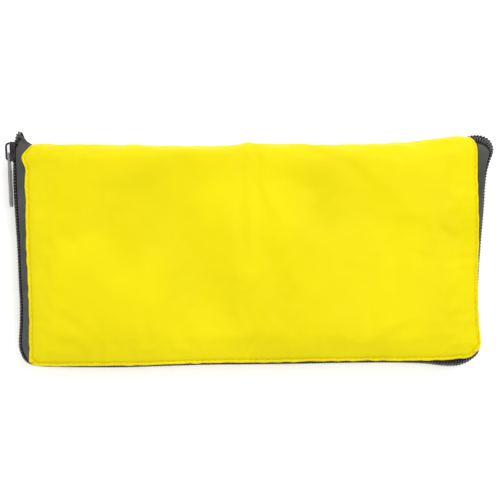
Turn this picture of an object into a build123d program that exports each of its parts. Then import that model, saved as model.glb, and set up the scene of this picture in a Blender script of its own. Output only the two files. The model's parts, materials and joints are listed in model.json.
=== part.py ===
from build123d import *
from math import hypot
import os

# A tote bag folded into its own zip-around pouch, lying closed on its back panel.
# Millimetres. +X runs along the fold, +Y points to the folded spine, +Z is up through the thickness.
# The origin is on the underside of the back panel. Everything above the zipper's centre plane
# belongs to the front cover, which opens about the spine like a book.

# --- Pouch ---------------------------------------------------------------------------------------
thickness = 23.0
mid = thickness / 2  # height of the zipper's centre line and of the spine's fold line
mid_plane = Plane.XY.offset(mid)
panel_half_width = 115.0
mouth_y = -58.0  # the long edge opposite the spine
spine_y = 55.0
panel_turn = 9.0  # corner radius of a panel, seen from above
panel_crown = 8.0  # radius from a panel's face over to its side
cover_t = 0.9  # coated woven cloth with its backing
lining_t = 0.4
lining_gap = 0.1
seam_rise = 7.2  # the sewn edge of each panel stands this far from the centre plane
seam_inset = 0.9  # how far the sewn edge lies inside the panel's widest line
hem_width = 5.6  # seam allowance turned inwards
hem_t = 0.6
spine_half = 108.0  # half length of the folded spine; the zipper's ends lie beyond it
spine_zone_y = 40.0  # nearer the spine than this, the panels have no hem

# --- Zipper --------------------------------------------------------------------------------------
chain_half_spine = 121.6  # half width over the coils, at the spine end of the loop
chain_half_mouth = 116.0  # the same at the mouth: the loop narrows a little
chain_spine_y = 60.5
chain_mouth_y = -60.5
chain_mouth_turn = 12.0
chain_spine_turn = 5.0
coil_depth = 2.4
coil_far = 3.2  # outer edge of one coil, from the centre plane
coil_near = 0.6  # inner edge: the tooth tips that interlock across the gap aren't modelled as solids
coil_edge = 0.9
cord_size = 1.0  # filler cord inside each coil
tape_t = 0.6
tape_flat = 5.2  # the tape runs flat behind the coil up to here, then slopes in to the panel
tape_near = 0.55
end_radius = 10.5  # round the hinge line, the last stretch of zipper stays closed and fixed
end_clear = 0.15

# --- Slider and pull -----------------------------------------------------------------------------
slider_y = 50.2
plate_half_length = 5.0
plate_nose_half = 4.6  # half width at the shoulders
plate_tail_half = 4.1
plate_t = 0.85
plate_clear = 0.1
post_half_length = 1.5
post_t = 0.9
post_u = -3.0
bail_half_length = 4.7
bail_rise = 2.7
bail_t = 0.9
bail_width = 1.8
bail_round = 1.9
pivot_rise = 1.8  # the pull's middle above the coil's outer face
tab_end = 28.3  # far end of the pull, from the slider's middle
tab_half_width = 3.3
tab_neck_half = 2.3
tab_t = 1.0
tab_roll = 3.0  # the pull hangs turned by this about its own length
tab_start = 0.45
slot_near = 1.7
slot_far = 5.0
slot_width = 2.8

# --- Folded tote ---------------------------------------------------------------------------------
tote_half_width = 105.0
passes = 4  # the bag is folded to and fro this many times
pass_length = 92.0
pass_pitch = 3.2
ply_t = 0.5
ply_offset = 0.95  # the front and back walls lie this far each side of a pass's middle
gusset_t = 0.25
gusset_offset = 0.32
gusset_reach = 80.0  # each side gusset folds in this far between the walls
first_pass_z = 2.9
hem_depth = 20.0
layer = 0.4
strap_width = 25.0
strap_t = 1.3
strap_reach = 40.0  # half spacing of a handle's two ends
handle_drop_y = -28.0  # where a handle's loop crosses the bundle


def chain_outline(height, inset):
    """The zipper loop seen from above, inset from the coil's outer face."""
    with BuildSketch(Plane.XY.offset(height)) as outline:
        with BuildLine():
            Polyline(
                (-chain_half_spine, chain_spine_y),
                (-chain_half_mouth, chain_mouth_y),
                (chain_half_mouth, chain_mouth_y),
                (chain_half_spine, chain_spine_y),
                close=True,
            )
        make_face()
        fillet(outline.vertices().group_by(Axis.Y)[0], chain_mouth_turn)
        fillet(outline.vertices().group_by(Axis.Y)[-1], chain_spine_turn)
        if inset:
            offset(amount=-inset)
    return outline.sketch


def panel_outline(height, inset):
    """A cover panel seen from above."""
    with BuildSketch(Plane.XY.offset(height)) as outline:
        with Locations((0, (mouth_y + spine_y) / 2)):
            RectangleRounded(
                2 * (panel_half_width - inset),
                spine_y - mouth_y - 2 * inset,
                panel_turn - min(inset, panel_turn - 1),
            )
    return outline.sketch


def ring(outline, low, high, outer_inset, inner_inset):
    """A flat band that follows an outline between two insets and two heights."""
    with BuildPart() as band:
        extrude(outline(low, outer_inset), amount=high - low)
        extrude(outline(low, inner_inset), amount=high - low, mode=Mode.SUBTRACT)
    return band.part


def half_pouch(inset):
    """The front half of the pouch as a crowned block, inset from its outer surface."""
    with BuildPart() as block:
        extrude(panel_outline(mid, inset), amount=mid - inset)
        fillet(block.faces().sort_by(Axis.Z)[-1].edges(), panel_crown - inset)
    return block.part


def spine_box(half_length, near_y=spine_zone_y):
    """The zone above the centre plane where the cover wraps over the spine."""
    with BuildPart() as zone:
        with BuildSketch(mid_plane):
            with Locations((0, near_y)):
                Rectangle(2 * half_length, 60, align=(Align.CENTER, Align.MIN))
        extrude(amount=thickness)
    return zone.part


def end_cylinders(radius):
    """Where the zipper's two ends stay closed: round the hinge line, beyond the spine."""
    with BuildPart() as ends:
        reach = 20.0
        for side in (-1, 1):
            with Locations((side * (spine_half + reach / 2), spine_y, mid)):
                Cylinder(radius, reach, rotation=(0, 90, 0))
    return ends.part


def half_shell(inset, wall, floor_rise):
    """A panel's skin: down to the centre plane at the spine, and to floor_rise at the other sides."""
    with BuildPart() as low_sides:
        with BuildSketch(mid_plane):
            Rectangle(4 * panel_half_width, 4 * panel_half_width)
        extrude(amount=floor_rise)
        add(spine_box(spine_half - inset), mode=Mode.SUBTRACT)
    with BuildPart() as skin:
        add(half_pouch(inset))
        add(half_pouch(inset + wall), mode=Mode.SUBTRACT)
        add(low_sides.part, mode=Mode.SUBTRACT)
    return skin.part


def zip_tape():
    """The front half of the tape: flat behind the coil, sloping in to the panel, then its seam allowance."""
    back_of_coil = coil_depth
    seam = mid + seam_rise
    with BuildPart() as slope_outside:
        loft([chain_outline(mid + tape_flat, back_of_coil), panel_outline(seam, seam_inset)], ruled=True)
    with BuildPart() as slope_inside:
        loft(
            [
                chain_outline(mid + tape_flat, back_of_coil + tape_t),
                panel_outline(seam, seam_inset + tape_t),
            ],
            ruled=True,
        )
    with BuildPart() as tape:
        add(ring(chain_outline, mid + tape_near, mid + tape_flat, back_of_coil, back_of_coil + tape_t))
        add(slope_outside.part)
        add(slope_inside.part, mode=Mode.SUBTRACT)
        add(ring(panel_outline, seam - hem_t, seam, seam_inset + 0.1, seam_inset + hem_width))
        add(spine_box(spine_half), mode=Mode.SUBTRACT)
    return tape.part


def zip_coil():
    """The front half of the chain as a bar with its outer edge eased."""
    with BuildPart() as coil:
        add(ring(chain_outline, mid + coil_near, mid + coil_far, 0, coil_depth))
        outer_rim = coil.faces().sort_by(Axis.Z)[-1].outer_wire()
        fillet(outer_rim.edges(), coil_edge)
        add(spine_box(spine_half), mode=Mode.SUBTRACT)
    return coil.part


def coil_cord(clearance):
    """The filler cord along the middle of a coil, or with a clearance the passage it lies in."""
    inset = (coil_depth - cord_size) / 2 - clearance
    centre = mid + (coil_near + coil_far) / 2
    half = cord_size / 2 + clearance
    with BuildPart() as cord:
        add(ring(chain_outline, centre - half, centre + half, inset, coil_depth - inset))
        add(spine_box(spine_half + (0 if clearance else 1)), mode=Mode.SUBTRACT)
    return cord.part


def seam_binding():
    """Folded tape sewn over the raw edges inside the seam, on the three zipped sides."""
    inner = seam_inset + hem_width
    seam = mid + seam_rise
    lip = 0.4
    with BuildPart() as binding:
        add(ring(panel_outline, seam - hem_t - lip, seam + hem_t + lip, inner - 2, inner + 1))
        add(
            ring(panel_outline, seam - hem_t, seam + hem_t, inner - 3, inner),
            mode=Mode.SUBTRACT,
        )
        add(spine_box(panel_half_width), mode=Mode.SUBTRACT)
    return binding.part


# --- Front cover ---------------------------------------------------------------------------------
seam_z = mid + seam_rise

with BuildPart() as spine_side:
    add(spine_box(2 * panel_half_width, spine_y - panel_crown))
    add(half_shell(0, cover_t, seam_rise), mode=Mode.SUBTRACT)

with BuildPart() as whole_cover:
    add(half_shell(0, cover_t, seam_rise))
    add(ring(panel_outline, seam_z, seam_z + hem_t, seam_inset + 0.2, seam_inset + hem_width))
    add(spine_side.part, mode=Mode.SUBTRACT)

with BuildPart() as front_cover:
    add(whole_cover.part)
    add(end_cylinders(end_radius + end_clear), mode=Mode.SUBTRACT)

with BuildPart() as front_lining:
    add(half_shell(cover_t + lining_gap, lining_t, seam_rise + hem_t + lining_gap))
    add(end_cylinders(end_radius + end_clear), mode=Mode.SUBTRACT)

with BuildPart() as front_seam_binding:
    add(seam_binding())

with BuildPart() as front_zip_tape:
    add(zip_tape())
    add(end_cylinders(end_radius + end_clear), mode=Mode.SUBTRACT)

with BuildPart() as front_zip_coil:
    add(zip_coil())
    add(coil_cord(0.1), mode=Mode.SUBTRACT)
    add(end_cylinders(end_radius + end_clear), mode=Mode.SUBTRACT)

with BuildPart() as front_coil_cord:
    add(coil_cord(0))
    add(end_cylinders(end_radius + end_clear), mode=Mode.SUBTRACT)

# --- Back panel and the fixed ends of the zipper -------------------------------------------------
with BuildPart() as back_cover:
    mirror(whole_cover.part, about=mid_plane)

with BuildPart() as back_lining:
    mirror(half_shell(cover_t + lining_gap, lining_t, seam_rise + hem_t + lining_gap), about=mid_plane)

with BuildPart() as back_seam_binding:
    mirror(seam_binding(), about=mid_plane)

with BuildPart() as back_zip_tape:
    mirror(zip_tape(), about=mid_plane)

with BuildPart() as back_zip_coil:
    mirror(zip_coil(), about=mid_plane)
    mirror(coil_cord(0.1), about=mid_plane, mode=Mode.SUBTRACT)

with BuildPart() as back_coil_cord:
    mirror(coil_cord(0), about=mid_plane)

with BuildPart() as front_tape_ends:
    add(zip_tape())
    add(end_cylinders(end_radius), mode=Mode.INTERSECT)

with BuildPart() as front_coil_ends:
    add(zip_coil())
    add(end_cylinders(end_radius), mode=Mode.INTERSECT)

# --- Slider --------------------------------------------------------------------------------------
# Local axes: x down the left side of the loop towards the mouth, y up, z outwards from the coil.
leg_length = hypot(chain_half_spine - chain_half_mouth, chain_spine_y - chain_mouth_y)
leg = Vector(chain_half_spine - chain_half_mouth, chain_mouth_y - chain_spine_y, 0) / leg_length
outward = Vector(leg.Y, -leg.X, 0)
slider_x = -chain_half_spine + (chain_spine_y - slider_y) * leg.X / -leg.Y
slider_plane = Plane(origin=(slider_x, slider_y, mid), x_dir=leg, z_dir=outward)
side_plane = Plane(origin=slider_plane.origin, x_dir=leg, z_dir=-slider_plane.y_dir)
inner_face = -(coil_depth + tape_t + plate_clear)


def plate_outline(height):
    """A slider plate: broad shoulders where the chain parts, a narrower tail."""
    with BuildSketch(slider_plane.offset(height)) as outline:
        with BuildLine():
            Polyline(
                (-plate_half_length, -plate_nose_half + 1.4),
                (-plate_half_length + 2.2, -plate_nose_half),
                (0.4, -plate_nose_half),
                (plate_half_length, -plate_tail_half),
                (plate_half_length, plate_tail_half),
                (0.4, plate_nose_half),
                (-plate_half_length + 2.2, plate_nose_half),
                (-plate_half_length, plate_nose_half - 1.4),
                close=True,
            )
        make_face()
        fillet(outline.vertices(), 0.7)
    return outline.sketch


with BuildPart() as slider_body:
    extrude(plate_outline(plate_clear), amount=plate_t)
    fillet(slider_body.faces().sort_by(Axis(slider_plane.origin, outward))[-1].edges(), 0.35)
    # Flanges hook round the coils and leave the tape a slot.
    extrude(plate_outline(plate_clear), amount=-(coil_depth - 0.3))
    with BuildSketch(slider_plane.offset(plate_clear)):
        Rectangle(3 * plate_half_length, 2 * (coil_far + plate_clear))
    extrude(amount=-coil_depth, mode=Mode.SUBTRACT)
    extrude(plate_outline(inner_face - plate_t), amount=plate_t)
    with BuildSketch(slider_plane.offset(plate_clear)):
        with Locations((post_u, 0)):
            SlotOverall(2 * post_half_length, post_t)
    extrude(amount=inner_face - plate_clear)

with BuildPart() as slider_bail:
    with BuildSketch(side_plane) as arch:
        foot = plate_clear + plate_t
        with Locations((0, foot)):
            Rectangle(2 * bail_half_length, bail_rise, align=(Align.CENTER, Align.MIN))
        fillet(arch.vertices().group_by(Axis.Y)[-1], bail_round)
        with BuildSketch(mode=Mode.SUBTRACT) as opening:
            with Locations((0, foot)):
                Rectangle(
                    2 * (bail_half_length - bail_t),
                    bail_rise - bail_t,
                    align=(Align.CENTER, Align.MIN),
                )
            fillet(opening.vertices().group_by(Axis.Y)[-1], bail_round - bail_t)
    extrude(amount=bail_width / 2, both=True)

# --- Pull: a flat tab with a slot that rides round the bail --------------------------------------
tab_plane = Plane(
    origin=slider_plane.offset(pivot_rise).origin,
    x_dir=leg,
    z_dir=outward.rotate(Axis((0, 0, 0), leg), tab_roll),
)

with BuildPart() as pull_tab:
    with BuildSketch(tab_plane) as blank:
        with BuildLine():
            Polyline(
                (tab_start, -tab_neck_half),
                (6.0, -tab_neck_half),
                (9.5, -tab_half_width),
                (tab_end, -tab_half_width),
                (tab_end, tab_half_width),
                (9.5, tab_half_width),
                (6.0, tab_neck_half),
                (tab_start, tab_neck_half),
                close=True,
            )
        make_face()
        fillet(blank.vertices().group_by(Axis.X)[-1], 2.6)
        with Locations(((slot_near + slot_far) / 2, 0)):
            RectangleRounded(slot_far - slot_near, slot_width, 0.8, mode=Mode.SUBTRACT)
    extrude(amount=tab_t / 2, both=True)
    end_face = pull_tab.faces().sort_by(Axis(tab_plane.origin, tab_plane.x_dir))[0]
    fillet(end_face.edges().filter_by(Axis(tab_plane.origin, tab_plane.y_dir)), 0.35)
    for face_side in (-1, 1):
        with BuildSketch(tab_plane.offset(face_side * tab_t / 2)):
            with Locations(((9.8 + tab_end - 1.0) / 2, 0)):
                RectangleRounded(tab_end - 1.0 - 9.8, 2 * (tab_half_width - 1.0), 1.6)
        extrude(amount=-face_side * 0.25, mode=Mode.SUBTRACT)

# --- Folded tote ---------------------------------------------------------------------------------
top_pass_z = first_pass_z + (passes - 1) * pass_pitch


def folded_ply(distance, wall, low_x, high_x):
    """One ply of the bag, zigzagging through every pass at a distance from the pass's middle."""
    with BuildPart() as ply:
        with BuildSketch(Plane.YZ.offset(low_x)):
            with BuildLine():
                for number in range(passes):
                    flip = -1 if number % 2 else 1
                    height = first_pass_z + number * pass_pitch + flip * distance
                    Line((-pass_length / 2, height), (pass_length / 2, height))
                    if number < passes - 1:
                        end = -flip * pass_length / 2
                        radius = pass_pitch / 2 - flip * distance
                        ThreePointArc(
                            (end, height),
                            (end - flip * radius, height + radius),
                            (end, height + 2 * radius),
                        )
            trace(line_width=wall)
        extrude(amount=high_x - low_x)
    return ply.part


def side_gusset(side):
    """A side gusset: two plies folded in between the walls, joined along their inner crease."""
    outer, inner = side * tote_half_width, side * (tote_half_width - gusset_reach)
    low_x, high_x = min(outer, inner), max(outer, inner)
    crease = (inner - 0.3, inner) if side > 0 else (inner, inner + 0.3)
    with BuildPart() as gusset:
        add(folded_ply(gusset_offset, gusset_t, low_x, high_x))
        add(folded_ply(-gusset_offset, gusset_t, low_x, high_x))
        add(folded_ply(0, 2 * gusset_offset + gusset_t, *crease))
    return gusset.part


with BuildPart() as tote_front_wall:
    add(folded_ply(-ply_offset, ply_t, -tote_half_width, tote_half_width))

with BuildPart() as tote_back_wall:
    add(folded_ply(ply_offset, ply_t, -tote_half_width, tote_half_width))

with BuildPart() as tote_left_gusset:
    add(side_gusset(-1))

with BuildPart() as tote_right_gusset:
    add(side_gusset(1))

wall_top_z = top_pass_z + ply_offset + ply_t / 2
hem_y = pass_length / 2 - hem_depth / 2

with BuildPart() as tote_top_hem:
    with BuildSketch(Plane.XY.offset(wall_top_z)):
        with Locations((0, hem_y)):
            Rectangle(2 * tote_half_width, hem_depth)
    extrude(amount=layer)

with BuildPart() as tote_anchor_tape:
    # Sews the bag's bottom edge to the inside of the spine.
    with BuildSketch(Plane.XZ.offset(-pass_length / 2)):
        with Locations((0, first_pass_z)):
            Rectangle(2 * tote_half_width - 10, 2 * ply_offset - ply_t)
    extrude(amount=pass_length / 2 - spine_y)
    mirror(half_pouch(cover_t + lining_gap + lining_t), about=mid_plane, mode=Mode.INTERSECT)

patch_z = wall_top_z + layer
patch_size = (strap_width + 6, hem_depth - 2)

with BuildPart() as front_handle_patches:
    with BuildSketch(Plane.XY.offset(patch_z)):
        with Locations((-strap_reach, hem_y), (strap_reach, hem_y)):
            RectangleRounded(*patch_size, 1.5)
    extrude(amount=layer)

back_wall_under = top_pass_z - ply_offset - ply_t / 2

with BuildPart() as back_handle_patches:
    # These reach out past the bag's edge to the tails of the back handle.
    with BuildSketch(Plane.XY.offset(back_wall_under)):
        with Locations((-strap_reach, hem_y + 3), (strap_reach, hem_y + 3)):
            RectangleRounded(*patch_size, 1.5)
    extrude(amount=-layer)


def handle(low, tail_drop):
    """A strap laid flat as a U, its legs folded square into the cross piece.

    With a tail drop, both ends turn down past the bag's edge by that much.
    """
    top_y = pass_length / 2 - 1
    tail_y = top_y + 1.6
    ends = [(-strap_reach, top_y), (strap_reach, top_y)]
    length = top_y - handle_drop_y + strap_width / 2
    with BuildPart() as strap:
        with BuildSketch(Plane.XY.offset(low)):
            with Locations(*ends):
                Rectangle(strap_width, length, align=(Align.CENTER, Align.MAX))
        extrude(amount=strap_t)
        with BuildSketch(Plane.XY.offset(low + strap_t)):
            with Locations((0, handle_drop_y)):
                Rectangle(2 * strap_reach + strap_width, strap_width)
        extrude(amount=strap_t)
        outer_corners = strap.edges().filter_by(Axis.Z).group_by(Axis.Y)[0]
        chamfer(outer_corners, strap_width * 0.45)
        if tail_drop:
            with BuildSketch(Plane.XY.offset(low + strap_t)):
                with Locations(*ends):
                    Rectangle(strap_width, strap_t + tail_y - top_y, align=(Align.CENTER, Align.MIN))
            extrude(amount=-strap_t)
            with BuildSketch(Plane.XY.offset(low + strap_t)):
                with Locations((-strap_reach, tail_y), (strap_reach, tail_y)):
                    Rectangle(strap_width, strap_t, align=(Align.CENTER, Align.MIN))
            extrude(amount=-tail_drop)
    return strap.part


handle_z = patch_z + layer

with BuildPart() as front_handle:
    add(handle(handle_z, 0))

with BuildPart() as back_handle:
    add(handle(handle_z + 2 * strap_t, handle_z + 3 * strap_t - back_wall_under))

# --- Export --------------------------------------------------------------------------------------
sub_parts = {
    "front_cover": front_cover,
    "front_lining": front_lining,
    "front_seam_binding": front_seam_binding,
    "front_zip_tape": front_zip_tape,
    "front_zip_coil": front_zip_coil,
    "front_coil_cord": front_coil_cord,
    "back_cover": back_cover,
    "back_lining": back_lining,
    "back_seam_binding": back_seam_binding,
    "back_zip_tape": back_zip_tape,
    "back_zip_coil": back_zip_coil,
    "back_coil_cord": back_coil_cord,
    "front_tape_ends": front_tape_ends,
    "front_coil_ends": front_coil_ends,
    "slider_body": slider_body,
    "slider_bail": slider_bail,
    "pull_tab": pull_tab,
    "tote_front_wall": tote_front_wall,
    "tote_back_wall": tote_back_wall,
    "tote_left_gusset": tote_left_gusset,
    "tote_right_gusset": tote_right_gusset,
    "tote_top_hem": tote_top_hem,
    "tote_anchor_tape": tote_anchor_tape,
    "front_handle_patches": front_handle_patches,
    "back_handle_patches": back_handle_patches,
    "front_handle": front_handle,
    "back_handle": back_handle,
}

os.makedirs("parts", exist_ok=True)
for label, piece in sub_parts.items():
    piece.part.label = label
    export_step(piece.part, f"parts/{label}.step")
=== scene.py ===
import json
import math

import bpy
import numpy as np
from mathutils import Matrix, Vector, noise


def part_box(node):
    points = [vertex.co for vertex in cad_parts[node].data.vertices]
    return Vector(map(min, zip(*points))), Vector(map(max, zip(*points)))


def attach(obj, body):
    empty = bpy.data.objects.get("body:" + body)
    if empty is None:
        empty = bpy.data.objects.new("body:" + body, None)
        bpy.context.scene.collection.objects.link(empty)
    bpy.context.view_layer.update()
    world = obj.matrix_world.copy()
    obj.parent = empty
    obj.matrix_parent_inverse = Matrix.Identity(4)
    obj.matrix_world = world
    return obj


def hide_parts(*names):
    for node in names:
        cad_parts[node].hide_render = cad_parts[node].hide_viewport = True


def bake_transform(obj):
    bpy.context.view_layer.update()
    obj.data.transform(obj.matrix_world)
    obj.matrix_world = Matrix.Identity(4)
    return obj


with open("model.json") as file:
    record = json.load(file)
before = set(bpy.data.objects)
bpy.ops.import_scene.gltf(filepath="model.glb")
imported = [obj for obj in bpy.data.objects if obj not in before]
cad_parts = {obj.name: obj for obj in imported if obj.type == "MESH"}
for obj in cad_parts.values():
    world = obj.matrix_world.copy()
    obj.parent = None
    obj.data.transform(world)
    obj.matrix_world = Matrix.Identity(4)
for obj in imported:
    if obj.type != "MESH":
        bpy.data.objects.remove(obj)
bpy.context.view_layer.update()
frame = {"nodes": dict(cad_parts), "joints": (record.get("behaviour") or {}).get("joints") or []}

MM = 0.001


def cad_span(node, axis):
    """Where a CAD node begins and ends along x, y or z, in mm."""
    low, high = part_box(node)
    return low["xyz".index(axis)] / MM, high["xyz".index(axis)] / MM


def fitted(values, low, high, node, axis):
    """Values drawn between low and high, carried onto the CAD node's own extent."""
    start, end = cad_span(node, axis)
    share = (np.array(values, float) - low) / (high - low)
    return start + share * (end - start)


joints = {joint["name"]: joint for joint in frame["joints"]}
HINGE_Y, MID = (value / MM for value in joints["cover_hinge"]["pos_m"][1:])
SEAM = cad_span("front_tape_ends", "z")[1] - MID - 0.1  # height of the sewn edges above the middle
SPINE_START = HINGE_Y - 9.0  # where a panel begins to turn down into the spine
PANEL_WIDTH, PANEL_HEIGHT = 230.0, 104.0  # the panel laid flat, seam to seam
# The cover's grid lines near its seams, finest where the stitching presses it down.
EDGE_DISTANCES = [
    0, 0.3, 0.6, 0.9, 1.15, 1.4, 1.65, 1.9, 2.3, 2.8, 3.5, 4.4, 5.5, 6.8, 8.3, 10, 11.8, 13.8,
]


def hermite(x, xs, ys):
    """A smooth curve through a few control values."""
    xs, ys, x = np.array(xs, float), np.array(ys, float), np.asarray(x, float)
    slope = np.gradient(ys, xs)
    i = np.clip(np.searchsorted(xs, x) - 1, 0, len(xs) - 2)
    h = xs[i + 1] - xs[i]
    t = np.clip((x - xs[i]) / h, 0, 1)
    return (
        (2 * t**3 - 3 * t**2 + 1) * ys[i]
        + (t**3 - 2 * t**2 + t) * h * slope[i]
        + (3 * t**2 - 2 * t**3) * ys[i + 1]
        + (t**3 - t**2) * h * slope[i + 1]
    )


def smooth(t):
    t = np.clip(t, 0, 1)
    return t * t * (3 - 2 * t)


def perlin(x, y, z=0.0):
    """Seeded by position only, so every run gives the same folds."""
    x, y = np.broadcast_arrays(np.asarray(x, float), np.asarray(y, float))
    flat = [noise.noise(Vector((a, b, z))) for a, b in zip(x.ravel(), y.ravel())]
    return np.array(flat).reshape(x.shape)


def mesh_piece(name, points, faces, material, uv=None):
    """A new object from points and cloth coordinates in mm."""
    mesh = bpy.data.meshes.new(name)
    mesh.from_pydata((np.asarray(points) * MM).tolist(), [], faces)
    if uv is not None:
        layer = mesh.uv_layers.new(name="cloth")
        loops = np.zeros(len(mesh.loops), np.int32)
        mesh.loops.foreach_get("vertex_index", loops)
        layer.data.foreach_set("uv", (np.asarray(uv) * MM)[loops].ravel())
    mesh.polygons.foreach_set("use_smooth", [True] * len(mesh.polygons))
    mesh.update()
    piece = bpy.data.objects.new(name, mesh)
    bpy.context.scene.collection.objects.link(piece)
    if material:
        mesh.materials.append(material)
    return piece


def grid_faces(rows, columns, closed_columns=False):
    """The faces of a grid of points; closed columns make it a tube, with a cap at each end."""
    faces = []
    for r in range(rows - 1):
        for c in range(columns if closed_columns else columns - 1):
            here, beside = r * columns + c, r * columns + (c + 1) % columns
            faces.append((here, beside, beside + columns, here + columns))
    if closed_columns:
        last = (rows - 1) * columns
        faces += [tuple(range(columns))[::-1], tuple(range(last, last + columns))]
    return faces


def apply_modifiers(piece):
    """Leaves the modifiers' result as the piece's own mesh."""
    depsgraph = bpy.context.evaluated_depsgraph_get()
    mesh = bpy.data.meshes.new_from_object(
        piece.evaluated_get(depsgraph), preserve_all_data_layers=True, depsgraph=depsgraph
    )
    old = piece.data
    piece.modifiers.clear()
    piece.data = mesh
    bpy.data.meshes.remove(old)


def subdivide(piece):
    modifier = piece.modifiers.new("smooth", "SUBSURF")
    modifier.levels = modifier.render_levels = 1


def thicken(piece, thickness, offset=-1.0):
    """Smooths a sheet and gives it a thickness in mm."""
    subdivide(piece)
    solid = piece.modifiers.new("cloth", "SOLIDIFY")
    solid.thickness = thickness * MM
    solid.offset = offset
    solid.use_quality_normals = True
    apply_modifiers(piece)


# --- Materials -----------------------------------------------------------------------------------
def material(name, color, roughness, specular, sheen=0.0, metallic=0.0):
    m = bpy.data.materials.new(name)
    m.use_nodes = True
    shader = m.node_tree.nodes["Principled BSDF"]
    shader.inputs["Base Color"].default_value = (*color, 1)
    shader.inputs["Roughness"].default_value = roughness
    shader.inputs["Specular IOR Level"].default_value = specular
    shader.inputs["Sheen Weight"].default_value = sheen
    shader.inputs["Metallic"].default_value = metallic
    return m


def node(m, kind, **settings):
    """A new shader node; settings are socket values or the node's own properties."""
    n = m.node_tree.nodes.new(kind)
    for key, value in settings.items():
        if key in n.inputs.keys():
            n.inputs[key].default_value = value
        else:
            setattr(n, key, value)
    return n


def link(m, source, target):
    m.node_tree.links.new(source, target)


def shader_of(m):
    return m.node_tree.nodes["Principled BSDF"]


def object_place(m):
    return node(m, "ShaderNodeTexCoord").outputs["Object"]


def varied_color(m, coordinates, dark, light, scale, low=0.35, high=0.65):
    """Base colour drifting between two tones."""
    cloud = node(m, "ShaderNodeTexNoise", Scale=scale, Detail=4.0)
    link(m, coordinates, cloud.inputs["Vector"])
    ramp = node(m, "ShaderNodeValToRGB")
    ramp.color_ramp.elements[0].position = low
    ramp.color_ramp.elements[0].color = (*dark, 1)
    ramp.color_ramp.elements[1].position = high
    ramp.color_ramp.elements[1].color = (*light, 1)
    link(m, cloud.outputs["Fac"], ramp.inputs["Fac"])
    return ramp.outputs["Color"]


def weave_height(m, coordinates, pitch):
    """Two crossed sets of threads as a height field."""
    total = None
    for axis in ("X", "Y"):
        threads = node(m, "ShaderNodeTexWave", bands_direction=axis, wave_profile="SIN")
        threads.inputs["Scale"].default_value = math.pi / (10 * pitch * MM)
        threads.inputs["Distortion"].default_value = 0.6
        threads.inputs["Detail"].default_value = 1.0
        threads.inputs["Detail Scale"].default_value = 0.4
        link(m, coordinates, threads.inputs["Vector"])
        if total is None:
            total = threads.outputs["Fac"]
        else:
            mix = node(m, "ShaderNodeMath", operation="MULTIPLY")
            link(m, total, mix.inputs[0])
            link(m, threads.outputs["Fac"], mix.inputs[1])
            total = mix.outputs[0]
    return total


def bump(m, height, strength, distance):
    b = node(m, "ShaderNodeBump", Strength=strength, Distance=distance * MM)
    link(m, height, b.inputs["Height"])
    link(m, b.outputs["Normal"], shader_of(m).inputs["Normal"])


def cloth(name, dark, light, weave, bump_mm, roughness, specular, sheen, cloud=18.0):
    """Woven cloth with painted shade in the weave's low places; weave is the thread pitch in mm and
    cloud the scale of its colour drift.
    """
    m = material(name, light, roughness, specular, sheen)
    uv = node(m, "ShaderNodeUVMap", uv_map="cloth").outputs["UV"]
    base = varied_color(m, uv, dark, light, cloud)
    height = weave_height(m, uv, weave)
    # Painted shade: where the weave's height is low, between the thread tops, the colour is
    # darkened a little.
    weave_shade_mix = node(m, "ShaderNodeMix", data_type="RGBA", blend_type="MULTIPLY")
    weave_shade_mix.inputs["Factor"].default_value = 0.35
    link(m, base, weave_shade_mix.inputs["A"])
    shade = node(m, "ShaderNodeMapRange")
    shade.inputs["To Min"].default_value = 0.82
    link(m, height, shade.inputs["Value"])
    weave_shade_gray = node(m, "ShaderNodeCombineColor")
    for channel in ("Red", "Green", "Blue"):
        link(m, shade.outputs["Result"], weave_shade_gray.inputs[channel])
    link(m, weave_shade_gray.outputs["Color"], weave_shade_mix.inputs["B"])
    link(m, weave_shade_mix.outputs["Result"], shader_of(m).inputs["Base Color"])
    rough = node(m, "ShaderNodeMapRange")
    rough.inputs["To Min"].default_value = roughness + 0.12
    rough.inputs["To Max"].default_value = roughness - 0.06
    link(m, height, rough.inputs["Value"])
    link(m, rough.outputs["Result"], shader_of(m).inputs["Roughness"])
    bump(m, height, 0.5, bump_mm)
    return m


yellow = cloth(
    "cover_yellow", (0.84, 0.72, 0.002), (0.93, 0.80, 0.003),
    weave=0.36, bump_mm=0.03, roughness=0.40, specular=0.10, sheen=0.0,
)
yellow_inside = cloth(
    "lining_yellow", (0.72, 0.61, 0.01), (0.80, 0.69, 0.015),
    weave=0.5, bump_mm=0.05, roughness=0.75, specular=0.08, sheen=0.1,
)
tote_yellow = cloth(
    "tote_yellow", (0.80, 0.68, 0.006), (0.89, 0.77, 0.01),
    weave=0.45, bump_mm=0.05, roughness=0.6, specular=0.12, sheen=0.1,
)
tape_grey = cloth(
    "tape_grey", (0.062, 0.065, 0.060), (0.098, 0.102, 0.095),
    weave=0.62, bump_mm=0.12, roughness=0.8, specular=0.15, sheen=0.15, cloud=60.0,
)
strap_grey = cloth(
    "strap_grey", (0.055, 0.057, 0.054), (0.085, 0.088, 0.083),
    weave=1.6, bump_mm=0.3, roughness=0.7, specular=0.2, sheen=0.2, cloud=45.0,
)


def moulded_coil():
    m = material("coil_black", (0.05, 0.04, 0.047), 0.34, 0.6)
    color = varied_color(m, object_place(m), (0.042, 0.034, 0.040), (0.125, 0.108, 0.122), 900.0)
    link(m, color, shader_of(m).inputs["Base Color"])
    return m


def fibrous_core():
    m = material("core_black", (0.012, 0.011, 0.012), 0.9, 0.1, 0.3)
    fibres = node(m, "ShaderNodeTexNoise", Scale=2500.0, Detail=2.0)
    link(m, object_place(m), fibres.inputs["Vector"])
    bump(m, fibres.outputs["Fac"], 0.6, 0.1)
    return m


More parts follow.
